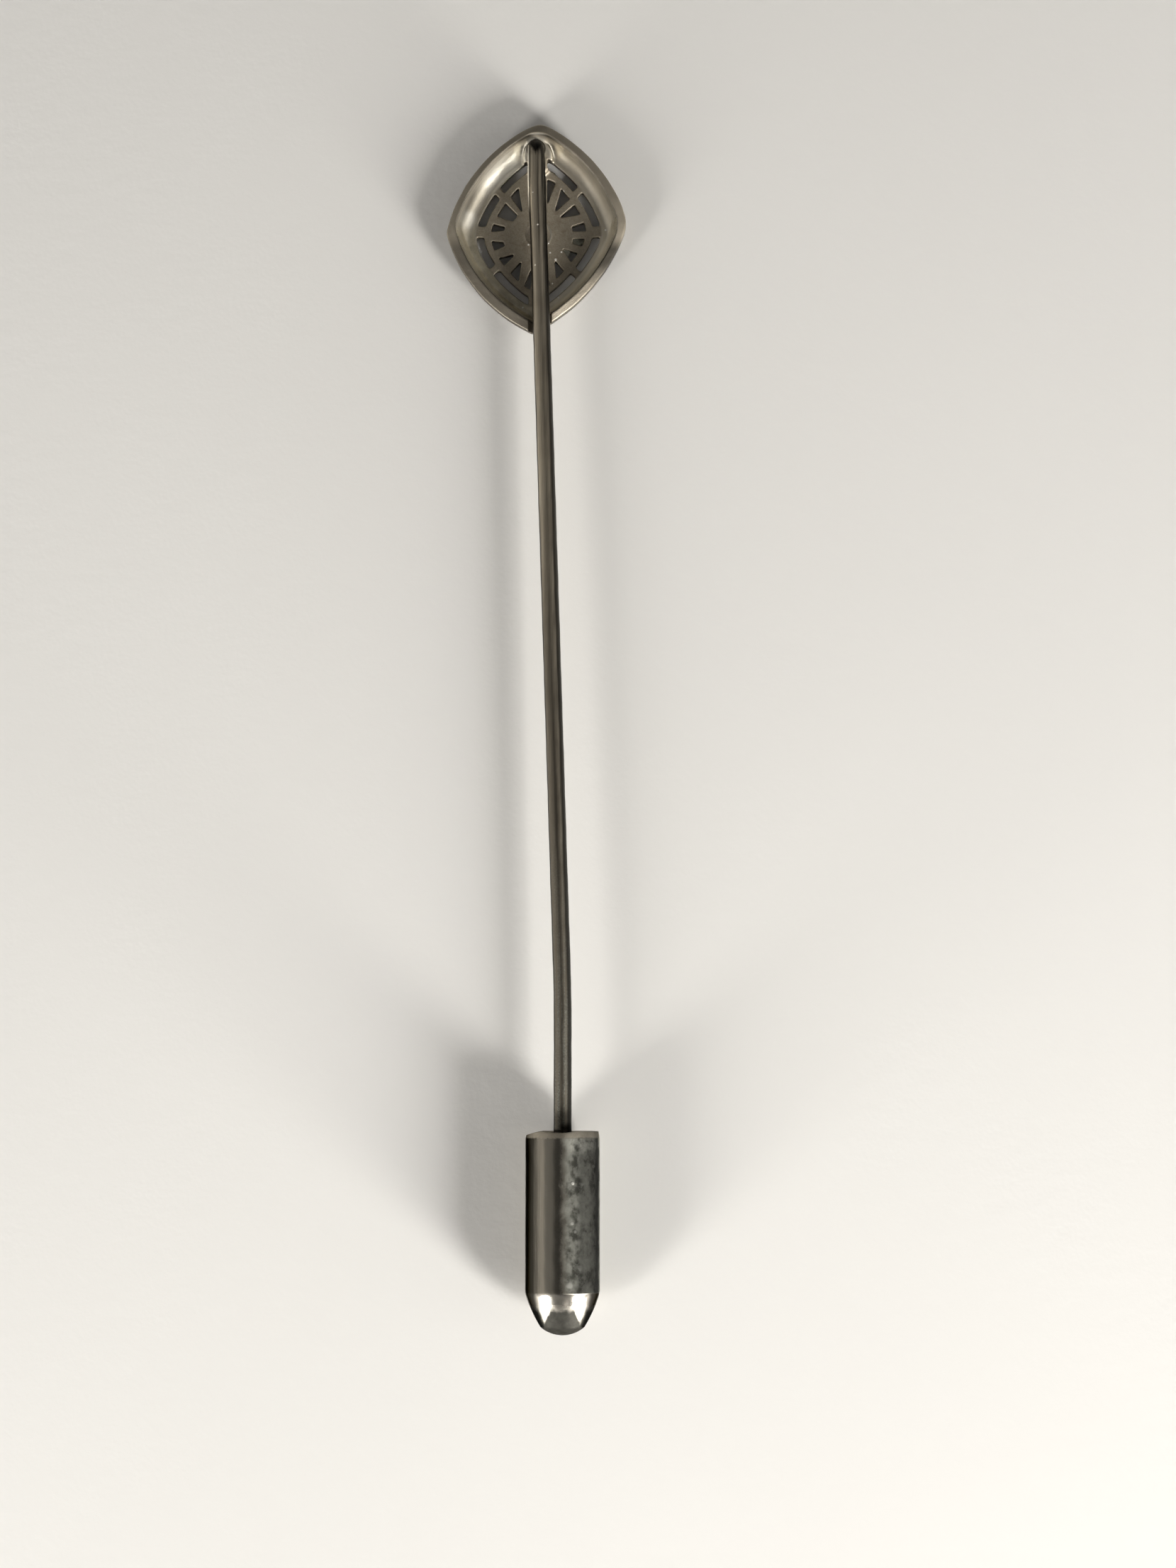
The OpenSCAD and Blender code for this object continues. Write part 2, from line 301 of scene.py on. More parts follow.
def surface_nets(field, low, high, step):
    """Quads round the zero level of a field that is negative inside, one vertex in each cell."""
    axes = [np.arange(a, b + step, step) for a, b in zip(low, high)]
    grid = np.stack(np.meshgrid(*axes, indexing="ij"), -1)
    value = field(grid.reshape(-1, 3)).reshape(grid.shape[:3])
    inside = value < 0
    total = np.zeros((*value.shape, 3))
    count = np.zeros(value.shape)
    rings = []
    for axis in range(3):
        near, far = [slice(None)] * 3, [slice(None)] * 3
        near[axis], far[axis] = slice(None, -1), slice(1, None)
        near, far = tuple(near), tuple(far)
        at = np.argwhere(inside[near] != inside[far])
        index = tuple(at.T)
        first, second = value[near][index], value[far][index]
        place = at.astype(float)
        place[:, axis] += first / (first - second)
        ring = []
        for back in ((0, 0), (1, 0), (1, 1), (0, 1)):
            cell = at.copy()
            cell[:, (axis + 1) % 3] -= back[0]
            cell[:, (axis + 2) % 3] -= back[1]
            np.add.at(total, tuple(cell.T), place)
            np.add.at(count, tuple(cell.T), 1)
            ring.append(np.ravel_multi_index(tuple(cell.T), value.shape))
        ring = np.stack(ring, 1)
        leaving = inside[near][index]
        ring[~leaving] = ring[~leaving, ::-1]
        rings.append(ring)
    used = np.flatnonzero(count.ravel())
    number = np.zeros(count.size, int)
    number[used] = np.arange(len(used))
    points = total.reshape(-1, 3)[used] / count.ravel()[used, None] * step + np.array(low)
    return points, number[np.concatenate(rings)].tolist()


def slope_of(field, points, reach=0.01):
    """Gradient of a field."""
    slope = np.empty_like(points)
    for axis in range(3):
        move = np.zeros(3)
        move[axis] = reach
        slope[:, axis] = (field(points + move) - field(points - move)) / (2 * reach)
    return slope


def settled(field, points, most):
    """The points moved onto the field's zero level, each by no more than most at a time."""
    for _ in range(3):
        slope = slope_of(field, points)
        move = field(points) / np.maximum((slope ** 2).sum(1), 0.05)
        points = points - slope * np.clip(move, -most, most)[:, None]
    return points


def new_object(name, data):
    made = bpy.data.objects.new(name, data)
    bpy.context.scene.collection.objects.link(made)
    return made


def new_mesh(name, points, faces, normals=None, **values):
    """Object with this mesh, in millimetres from the star. values become point attributes."""
    mesh = bpy.data.meshes.new(name)
    mesh.from_pydata(((points + STAR) * MM).tolist(), [], faces)
    for key, numbers in values.items():
        layer = mesh.attributes.new(key, "FLOAT", "POINT")
        layer.data.foreach_set("value", numbers.astype(np.float32))
    mesh.shade_smooth()
    if normals is not None:
        mesh.normals_split_custom_set_from_vertices(normals.tolist())
    return new_object(name, mesh)


# The plaque as a field, negative inside the metal

def each_side(x, y):
    """Each side with the distance in from its arc."""
    for side in SIDES:
        middle = ray(side["facing"], side["reach"] - side["radius"])
        yield side, side["radius"] - np.hypot(x - middle[0], y - middle[1])


def join_sides(parts, rounds):
    """Largest of four fields, one for each side, with each corner rounded as given."""
    joined = None
    for number, part in enumerate(parts):
        corner = soft_max(part, parts[(number + 1) % 4], rounds[number])
        joined = corner if joined is None else np.maximum(joined, corner)
    return joined


def quarter_round(u, v, a, b):
    """Distance outside the ellipse round (a, b) that touches both axes, straight on beyond it."""
    s, t = np.maximum(a - u, 0) / a, np.maximum(b - v, 0) / b
    k = np.maximum(np.hypot(s, t), TINY)
    return (k - 1) * k / np.maximum(np.hypot(s / a, t / b), TINY)


def outer_form(x, y, z):
    """The plaque without its trough: rim, bevel and rounded front."""
    parts = []
    for side, e in each_side(x, y):
        steep = math.hypot(side["bevel"], BEVEL_DROP)
        bevel = ((z - HEAD_H) * side["bevel"] - (e - side["bevel"]) * BEVEL_DROP) / steep
        front = quarter_round(e, z, side["border"] - LAND_W - SKIRT_W, HEAD_H - SHEET_T)
        part = soft_max(bevel, front, ROUND["front"])
        parts.append(soft_max(part, -e, ROUND["rim"]))
    return np.maximum(join_sides(parts, CORNER_ROUND), z - HEAD_H)


def trough_form(x, y, z):
    """The hollow inside the crest, negative in it. Its wall flattens out towards the plate."""
    parts = []
    for side, e in each_side(x, y):
        wide = side["border"] - side["bevel"] - TROUGH_LAND
        share = np.clip(1 - (e - side["bevel"]) / wide, 0, 1.15)
        floor_z = SHEET_T + (HEAD_H - SHEET_T) * share ** TROUGH_POWER
        slope = TROUGH_POWER * (HEAD_H - SHEET_T) / wide * share ** (TROUGH_POWER - 1)
        parts.append((floor_z - z) / np.hypot(1, slope))
    return join_sides(parts, CREST_ROUND)


def plate_edge(x, y, z, base, top):
    """Distance outside the plate's sloping edge, which rises from base to top."""
    parts = []
    for side, e in each_side(x, y):
        share = np.clip((z - base) / (top - base), 0, 1.2)
        wall = side["border"] - STEP_IN - STEP_W * (1 - share)
        parts.append((wall - e) * 0.8)
    return join_sides(parts, PLATE_ROUND)


def inset(x, y, extra):
    """Distance outside the line that lies this far in from the border."""
    parts = [side["border"] + extra - e for side, e in each_side(x, y)]
    return join_sides(parts, SLOT_ROUND)


def slot_holes(x, y):
    ring = soft_max(inset(x, y, 0), -inset(x, y, SLOT_W), ROUND["slot"])
    for bar in BARS:
        way = ray(bar["towards"], 1)
        beside = np.abs(x * way[1] - y * way[0])
        ahead = x * way[0] + y * way[1]
        off_bar = np.where(ahead > 0, bar["width"] / 2 - beside, -FAR)
        ring = soft_max(ring, off_bar, ROUND["bar"])
    return ring


def star_holes(x, y):
    limit = inset(x, y, SLOT_W + RING_W)
    holes = np.full_like(x, FAR)
    for hole in STAR_HOLES:
        corners = [
            ray(hole["tip"] - hole["blunt"], hole["tip_r"]), ray(hole["start"], HOLE_TO_R),
            ray(hole["end"], HOLE_TO_R), ray(hole["tip"] + hole["blunt"], hole["tip_r"]),
        ]
        shape = limit
        for a, b in zip(corners, corners[1:] + corners[:1]):
            along = (b - a) / np.linalg.norm(b - a)
            off_edge = (x - a[0]) * along[1] - (y - a[1]) * along[0]
            shape = soft_max(shape, off_edge, ROUND["hole"])
        holes = np.minimum(holes, shape)
    return holes


def pierced(x, y):
    """Distance outside the nearest slot or hole."""
    return np.minimum(slot_holes(x, y), star_holes(x, y))


def stem_line():
    """Points along the middle of the wire, from its ground point to its foot in the trough."""
    down = np.array([0.0, 0.0, -1.0])
    tip_y = MOUTH_Y - TAPER_IN - TAPER_L
    straight = [np.array([CLUTCH_X, y, CLUTCH_Z]) for y in np.arange(tip_y, SET_Y, SPACING)]
    sideways = np.array([-math.cos(SET_ROLL), 0.0, -math.sin(SET_ROLL)])
    start = np.array([CLUTCH_X, SET_Y, CLUTCH_Z])
    bend = [
        start + sideways * SET_R * (1 - math.cos(a)) + np.array([0, SET_R * math.sin(a), 0])
        for a in np.linspace(0, SET_BEND, 12)
    ]
    ahead = sideways * math.sin(SET_BEND) + np.array([0, math.cos(SET_BEND), 0])
    elbow_y = STEM_TOP_Y - WIRE_D / 2 - ELBOW_R
    run_l = (elbow_y - bend[-1][1]) / ahead[1]
    run = [bend[-1] + ahead * s for s in np.linspace(SPACING, run_l, int(run_l / SPACING))]
    under = down - ahead * (down @ ahead)
    under /= np.linalg.norm(under)
    elbow = [
        run[-1] + ahead * ELBOW_R * math.sin(a) + under * ELBOW_R * (1 - math.cos(a))
        for a in np.linspace(0, math.pi / 2, 20)[1:]
    ]
    foot = [elbow[-1] + under * s for s in np.arange(0.1, elbow[-1][2] - FOOT_Z, 0.1)]
    return np.array(straight + bend + run + elbow + foot)


STEM = stem_line()
FOOT = STEM[-1]


def stem_at(y):
    """Middle of the wire where it passes this far up the head."""
    level = STEM[:-END_POINTS]
    return np.array([np.interp(y, level[:, 1], level[:, axis]) for axis in range(3)])


def from_wire(points):
    """Distance of each point from the wire's surface on the head."""
    near = STEM[STEM[:, 1] > BELOW_HEAD]
    away = np.min([np.linalg.norm(points - middle, axis=1) for middle in near], axis=0)
    return away - WIRE_D / 2


def solder_form(points):
    """Solder that fills the corner round the wire's foot and runs down beside the wire."""
    x, y, z = points[:, 0] - FOOT[0], points[:, 1] - STEM_TOP_Y, points[:, 2]
    half = np.where(x > 0, SOLDER["right"], SOLDER["left"])
    outline = (np.hypot(x / half, (y + SOLDER["down"]) / SOLDER["long"]) - 1) * 0.8
    top = SOLDER["top"] + SOLDER["rise"] * y
    mound = soft_max(outline, z - top, ROUND["solder"])
    beside = np.abs(x - SOLDER["fill_x"]) - SOLDER["fill_half"]
    fill = soft_max(z - SOLDER["fill_top"], beside, ROUND["solder_fill"])
    below = SOLDER["fill_low"] - y + SOLDER["fill_lean"] * np.abs(x)
    fill = soft_max(fill, below, ROUND["solder_side"])
    return soft_min(mound, fill, ROUND["solder_join"])


def residue_form(points):
    """Nearest lump of old polishing paste."""
    lumps = [ellipsoid(points, **lump) for lump in RESIDUE]
    return np.min(lumps, axis=0) + relief(points, RESIDUE_WAVES)


def plaque_field(points):
    """The whole plaque with its solder, its piercing and its notch."""
    x, y, z = points.T
    slope = plate_edge(x, y, z, SHEET_T - PLATE_SUNK, SHEET_T + PLATE_SET)
    plate = soft_max(z - SHEET_T - PLATE_SET, slope, ROUND["plate"])
    from_edge = np.hypot(x, y) - BOSS_R
    ridge = BOSS_RIDGE * np.exp(-(from_edge / BOSS_RIDGE_W) ** 2)
    plate = plate - (ridge - BOSS_SUNK / (1 + np.exp(from_edge / BOSS_EASE)))
    metal = soft_min(-trough_form(x, y, z), plate, ROUND["plate_foot"])
    metal = soft_min(metal, solder_form(points), ROUND["solder_foot"])
    body = soft_max(outer_form(x, y, z), metal, ROUND["crest"])
    recess = soft_max(z - PLATE_SET, plate_edge(x, y, z, 0.0, PLATE_SET), ROUND["recess"])
    body = soft_max(body, -recess, ROUND["recess_mouth"])
    body = soft_max(body, -pierced(x, y), ROUND["piercing"])
    body = soft_min(body, residue_form(points), ROUND["residue"])
    passing = stem_at(NOTCH_Y)
    notch = np.maximum(np.abs(x - passing[0] + NOTCH_ASIDE) - NOTCH_W / 2, y - NOTCH_Y)
    notch = soft_max(notch, passing[2] - WIRE_D / 2 - NOTCH_UNDER - z, ROUND["notch"])
    return soft_max(body, -notch, ROUND["notch_mouth"]) + relief(points, CAST_WAVES)


def hollowness(field, points, normals):
    """How much metal stands round a point: 0 on a face, up to 1 in a pit, below 0 on an edge."""
    total = np.zeros(len(points))
    for reach in HOLLOW_REACHES:
        total += (reach - field(points + normals * reach)) / reach
    return total / len(HOLLOW_REACHES)


def plaque():
    cell = CELL
    points, faces = surface_nets(plaque_field, GRID_LOW, GRID_HIGH, cell)
    points = settled(plaque_field, points, cell / 3)
    normals = slope_of(plaque_field, points)
    normals /= np.linalg.norm(normals, axis=1)[:, None]
    x, y = points[:, 0], points[:, 1]
    crest = -join_sides([side["bevel"] - e for side, e in each_side(x, y)], CREST_ROUND)
    return new_mesh(
        "plaque", points, faces, normals,
        rim=-np.max([-e for side, e in each_side(x, y)], axis=0), crest=crest,
        border=inset(x, y, 0),
        hollow=hollowness(plaque_field, points, normals), solder=solder_form(points),
        residue=residue_form(points), by_wire=from_wire(points), from_middle=np.hypot(x, y),
    )


# The wire and the clutch

def ring_faces(rings, sides, closed=False):
    """Quads between rings of points, and from the last ring to the first if closed."""
    faces = []
    for ring in range(rings if closed else rings - 1):
        low, high = ring * sides, (ring + 1) % rings * sides
        for turn in range(sides):
            after = (turn + 1) % sides
            faces.append((low + turn, low + after, high + after, high + turn))
    return faces


def tube(line, radii, sides):
    """Closed tube along a line. Its rings keep their turn as the line bends."""
    ahead = np.gradient(line, axis=0)
    ahead /= np.linalg.norm(ahead, axis=1)[:, None]
    up = np.array([0.0, 0.0, 1.0])
    rings = []
    for middle, way, r in zip(line, ahead, radii):
        up = up - way * (up @ way)
        up /= np.linalg.norm(up)
        side = np.cross(way, up)
        turns = np.linspace(0, 2 * math.pi, sides, endpoint=False)
        rings.append(middle + r * (np.outer(np.cos(turns), side) + np.outer(np.sin(turns), up)))
    points = np.concatenate([*rings, line[:1], line[-1:]])
    faces = ring_faces(len(line), sides)
    last = (len(line) - 1) * sides
    start, end = len(points) - 2, len(points) - 1
    for turn in range(sides):
        after = (turn + 1) % sides
        faces.append((start, after, turn))
        faces.append((end, last + turn, last + after))
    return points, faces


# The film of solder along the wire's sides on the head. left_y, right_y: its lower ends. to_y: its
# upper end. fade, end: over how much it grows from each end. high: of the film. narrow: its width
# seen from above, in radii. under: how far it goes below the wire's middle.
FILM = {
    "left_y": 0.5, "right_y": 1.9, "to_y": 5.3, "fade": 1.5, "end": 0.3,
    "high": 0.06, "narrow": 0.07, "under": 0.4,
}


def wire():
    """The stem, a little uneven in thickness, with its ground point and the film of solder."""
    steps = np.linalg.norm(np.diff(STEM, axis=0), axis=1)
    from_point = np.concatenate([[0], np.cumsum(steps)])
    taper_ends = [share * TAPER_L for share in TAPER]
    radii = WIRE_D * np.interp(from_point, taper_ends, list(TAPER.values()))
    for row in UNEVEN:
        radii = radii + row["high"] * np.sin(from_point * row["often"] + row["start"])
    radii[0] = TIP_R
    points, faces = tube(STEM, radii, STEM_SIDES)
    x, y, z = points.T
    middle = stem_at(y)
    beside = (x - middle[0]) / (WIRE_D / 2)
    from_y = np.where(beside < 0, FILM["left_y"], FILM["right_y"])
    film = np.clip((y - from_y) / FILM["fade"], 0, 1)
    film = film * np.clip((FILM["to_y"] - y) / FILM["end"], 0, 1)
    film = film * np.exp(-((np.abs(beside) - 1.0) / FILM["narrow"]) ** 2)
    film = film * (z > middle[2] - FILM["under"])
    aside = np.outer(FILM["high"] * film, [1.0, 0.0, 0.0]) * np.sign(beside)[:, None]
    return new_mesh("stem", points + aside, faces, film=film, beside=beside)


def smooth_profile(corners, rounds, spacing=0.05):
    """Points along a line with its corners cut round by the given radii."""
    corners = [np.array(c, float) for c in corners]
    line = [corners[0]]
    for before, here, after, r in zip(corners, corners[1:], corners[2:], rounds):
        back, on = before - here, after - here
        back_l, on_l = np.linalg.norm(back), np.linalg.norm(on)
        cut = min(r, 0.45 * back_l, 0.45 * on_l)
        a, b = here + back / back_l * cut, here + on / on_l * cut
        for t in np.linspace(0, 1, 7):
            line.append((1 - t) ** 2 * a + 2 * t * (1 - t) * here + t * t * b)
    line.append(corners[-1])
    dense = [line[0]]
    for a, b in zip(line, line[1:]):
        pieces = max(1, math.ceil(np.linalg.norm(b - a) / spacing))
        dense += [a + (b - a) * t for t in np.linspace(0, 1, pieces + 1)[1:]]
    return np.array(dense)


def lathe(name, profile, sides, warp=None):
    """Turns a profile of (radius, depth behind the mouth) about the clutch's axis.

    Its two ends lie on the axis, or else they join."""
    turns = np.linspace(0, 2 * math.pi, sides, endpoint=False)
    rings = []
    for r, depth in profile:
        across, up = CLUTCH_X + r * np.cos(turns), CLUTCH_Z + r * np.sin(turns)
        rings.append(np.stack([across, np.full(sides, MOUTH_Y - depth), up], 1))
    points = np.concatenate(rings)
    if warp is not None:
        points = warp(points)
    return new_mesh(name, points, ring_faces(len(profile), sides, profile[0][0] > TINY))


def nose_line():
    """The nose from just before its shoulder to its tip: a long arc, then a round cap."""
    flat = FLANK_R * math.cos(FLANK_LEAN)
    start = FLANK_R * math.sin(FLANK_LEAN)
    along = np.concatenate([
        np.linspace(-SHOULDER_EASE, CAP_FROM, 50),
        NOSE_L - CAP_R * (1 - np.cos(np.linspace(CAP_HALF, 0.0, 24)))[1:],
    ])
    drop = flat - np.sqrt(FLANK_R ** 2 - (start + along) ** 2)
    flank = CLUTCH_R - soft_max(drop, 0 * drop, ROUND["shoulder"])
    from_cap = np.clip(along - NOSE_L + CAP_R, 0, CAP_R)
    cap = np.where(along > CAP_FROM, np.sqrt(CAP_R ** 2 - from_cap ** 2), flank)
    return [(r, SHOULDER + depth) for r, depth in zip(np.minimum(flank, cap), along)]


def worn(points):
    """The clutch's small dents, and the mouth's worn edge, which dips at the top."""
    x, y, z = (points - np.array([CLUTCH_X, MOUTH_Y, CLUTCH_Z])).T
    r = np.maximum(np.hypot(x, z), TINY)
    dents = relief(points, DENTS) - DENTED_BELOW
    outside = np.clip((r - 1.0) / 0.5, 0, 1)
    scale = 1 + np.minimum(dents, 0) * outside / r
    at_mouth = np.exp(np.minimum(y, 0) / LIP_WEAR["reach"])
    left_share = (-x / r - LIP_WEAR["left_from"]) / LIP_WEAR["left_over"]
    at_left = LIP_WEAR["left"] * np.clip(left_share, 0, 1) ** 1.5
    at_top = LIP_WEAR["wave"] * np.cos(x * 2.2 + 0.4) + LIP_WEAR["top"]
    dip = at_mouth * (np.clip(z / r, 0, 1) ** 2 * at_top + at_left)
    return np.stack([CLUTCH_X + x * scale, MOUTH_Y + y - dip, CLUTCH_Z + z * scale], 1)


def shell():
    """The clutch's metal, from the end of its bore out over its mouth to the tip of its nose."""
    bore_r = CLUTCH_R - SHELL_T
    bore_l = SHOULDER - BORE_SHORT
    corners = (
        (0, bore_l + BORE_END_L), (BORE_END_R, bore_l + BORE_END_L), (bore_r, bore_l),
        (bore_r, BORE_EDGE), (bore_r + BORE_EDGE, 0.0), (CLUTCH_R - LIP_IN, 0.0), (CLUTCH_R, LIP_L),
        (CLUTCH_R, SHOULDER - SHOULDER_EASE),
    )
    inner = smooth_profile(corners, (0.05, 0.05, 0.04, 0.03, 0.05, 0.16), 0.12)
    profile = [tuple(p) for p in inner[:-1]] + nose_line()
    for end in (0, -1):
        profile[end] = (TINY / 10, profile[end][1])
    return lathe("clutch_shell_metal", profile, SHELL_SIDES, worn)


def grip():
    """The bored plug in the clutch, with a funnel that leads the wire in."""
    grip_r = CLUTCH_R - SHELL_T - RUN_CLEAR
    end = SHOULDER - BORE_SHORT
    bore = WIRE_D / 2 + RUN_CLEAR
    corners = (
        (bore, FUNNEL_TO), (FUNNEL_R, GRIP_FROM), (grip_r, GRIP_FROM), (grip_r, end),
        (bore, end), (bore, FUNNEL_TO),
    )
    profile = smooth_profile(corners, (0.05, 0.08, 0.05, 0.05), 0.3)[:-1]
    return lathe("clutch_insert", [tuple(p) for p in profile], GRIP_SIDES)


# Materials

class Nodes:
    """Short ways to add nodes to a tree."""

    def __init__(self, tree):
        self.tree = tree

    def add(self, kind, inputs=None, **settings):
        made = self.tree.nodes.new(kind)
        for key, value in settings.items():
            setattr(made, key, value)
        for key, value in (inputs or {}).items():
            self.set(made.inputs[key], value)
        return made

    def set(self, socket, value):
        if isinstance(value, bpy.types.NodeSocket):
            self.tree.links.new(value, socket)
        else:
            socket.default_value = value

    def axes(self, vector):
        return self.add("ShaderNodeSeparateXYZ", {"Vector": vector}).outputs

    def math(self, operation, a, b=0.0):
        return self.add("ShaderNodeMath", {0: a, 1: b}, operation=operation).outputs[0]

    def chain(self, operation, first, *others):
        for other in others:
            first = self.math(operation, first, other)
        return first

    def sum(self, *values):
        return self.chain("ADD", *values)

    def times(self, *values):
        return self.chain("MULTIPLY", *values)

    def most(self, *values):
        return self.chain("MAXIMUM", *values)

    def less(self, a, b):
        return self.math("SUBTRACT", a, b)

    def fit(self, value, low, high, to_low=0.0, to_high=1.0):
        """Carries low..high smoothly over to another range."""
        return self.add("ShaderNodeMapRange", {
            "Value": value, "From Min": low, "From Max": high, "To Min": to_low, "To Max": to_high,
        }, interpolation_type="SMOOTHSTEP").outputs["Result"]

    def band(self, value, middle, half):
        """1 on this value, down to 0 at half away from it."""
        return self.fit(self.math("ABSOLUTE", self.less(value, middle)), 0.0, half, 1.0, 0.0)

    def mix(self, share, a, b):
        return self.add("ShaderNodeMix", {0: share, 6: a, 7: b}, data_type="RGBA").outputs[2]

    def shade(self, colour, share):
        """The colour, darkened to this share of itself."""
        inputs = {0: colour, "Scale": share}
        return self.add("ShaderNodeVectorMath", inputs, operation="SCALE").outputs[0]

    def blend(self, share, a, b):
        return self.add("ShaderNodeMix", {0: share, 2: a, 3: b}, data_type="FLOAT").outputs[0]


class Shader(Nodes):
    """A material with a principled shader. Its textures are in millimetres of the frame."""

    def __init__(self, name):
        self.material = bpy.data.materials.new(name)
        self.material.use_nodes = True
        super().__init__(self.material.node_tree)
        self.bsdf = self.tree.nodes["Principled BSDF"]
        place = self.add("ShaderNodeTexCoord").outputs
        scaled = {0: place["Object"], 1: (1 / MM,) * 3}
        self.mm = self.add("ShaderNodeVectorMath", scaled, operation="MULTIPLY").outputs[0]
        self.x, self.y = (self.axes(self.mm)[name] for name in "XY")
        self.upward = self.axes(place["Normal"])["Z"]
        self.rightward = self.axes(place["Normal"])["X"]

    def attribute(self, name):
        return self.add("ShaderNodeAttribute", attribute_name=name).outputs["Fac"]

    def stretched(self, x, y, z):
        return self.add("ShaderNodeMapping", {"Vector": self.mm, "Scale": (x, y, z)}).outputs[0]

    def noise(self, scale, detail=3.0, rough=0.55, vector=None):
        return self.add("ShaderNodeTexNoise", {
            "Vector": vector or self.mm, "Scale": scale, "Detail": detail, "Roughness": rough,
        }).outputs["Fac"]

    def across(self, value, start, end, to_low=0.0, to_high=1.0):
        """Fit of an x, between two distances to the right of the star."""
        return self.fit(value, STAR[0] + start, STAR[0] + end, to_low, to_high)

    def along(self, value, start, end, to_low=0.0, to_high=1.0):
        """Fit of a y, between two distances from the star towards the head's upper end."""
        return self.fit(value, STAR[1] + start, STAR[1] + end, to_low, to_high)

    def dots(self, rows, bright=1.0, from_x=0.0, from_y=0.0):
        """Dots seen from above, as bright as given here or in their rows."""
        flat = self.add("ShaderNodeCombineXYZ", {"X": self.x, "Y": self.y}).outputs[0]
        total = 0.0
        for row in rows:
            middle = (row["x"] + from_x + STAR[0], row["y"] + from_y + STAR[1], 0.0)
            inputs = {0: flat, 1: middle}
            away = self.add("ShaderNodeVectorMath", inputs, operation="DISTANCE").outputs["Value"]
            dot = self.fit(away, row["r"], 0.4 * row["r"], 0.0, row.get("bright", bright))
            total = self.most(total, dot)
        return self.times(total, self.fit(self.upward, 0.0, 0.3))

    def bump(self, height, distance, under=None):
        inputs = {"Height": height, "Distance": distance * MM, "Strength": 1.0}
        if under is not None:
            inputs["Normal"] = under
        return self.add("ShaderNodeBump", inputs).outputs["Normal"]

    def finish(self, **sockets):
        for key, value in sockets.items():
            self.set(self.bsdf.inputs[key.replace("_", " ")], value)
        return self.material


# Colours, or a dark and a light one that are blended
ANTIQUE = {
    "trough": ((0.56, 0.515, 0.425, 1), (0.72, 0.675, 0.575, 1)),
    "glint_white": (0.97, 0.94, 0.85, 1),
    "dull": ((0.46, 0.42, 0.325, 1), (0.68, 0.63, 0.50, 1)),
    "lower_right_light": (0.92, 0.86, 0.73, 1),
    "bevel": ((0.31, 0.272, 0.215, 1), (0.42, 0.378, 0.305, 1)),
    "plate": ((0.30, 0.26, 0.20, 1), (0.46, 0.41, 0.325, 1)),
    "plate_dark": (0.24, 0.20, 0.15, 1),
    "grime_and_shade": (0.03, 0.026, 0.019, 1),
    "brightened": (0.96, 0.915, 0.81, 1),
    "bead": (0.95, 0.93, 0.88, 1),
    "residue": ((0.10, 0.10, 0.075, 1), (0.33, 0.325, 0.265, 1)),
}


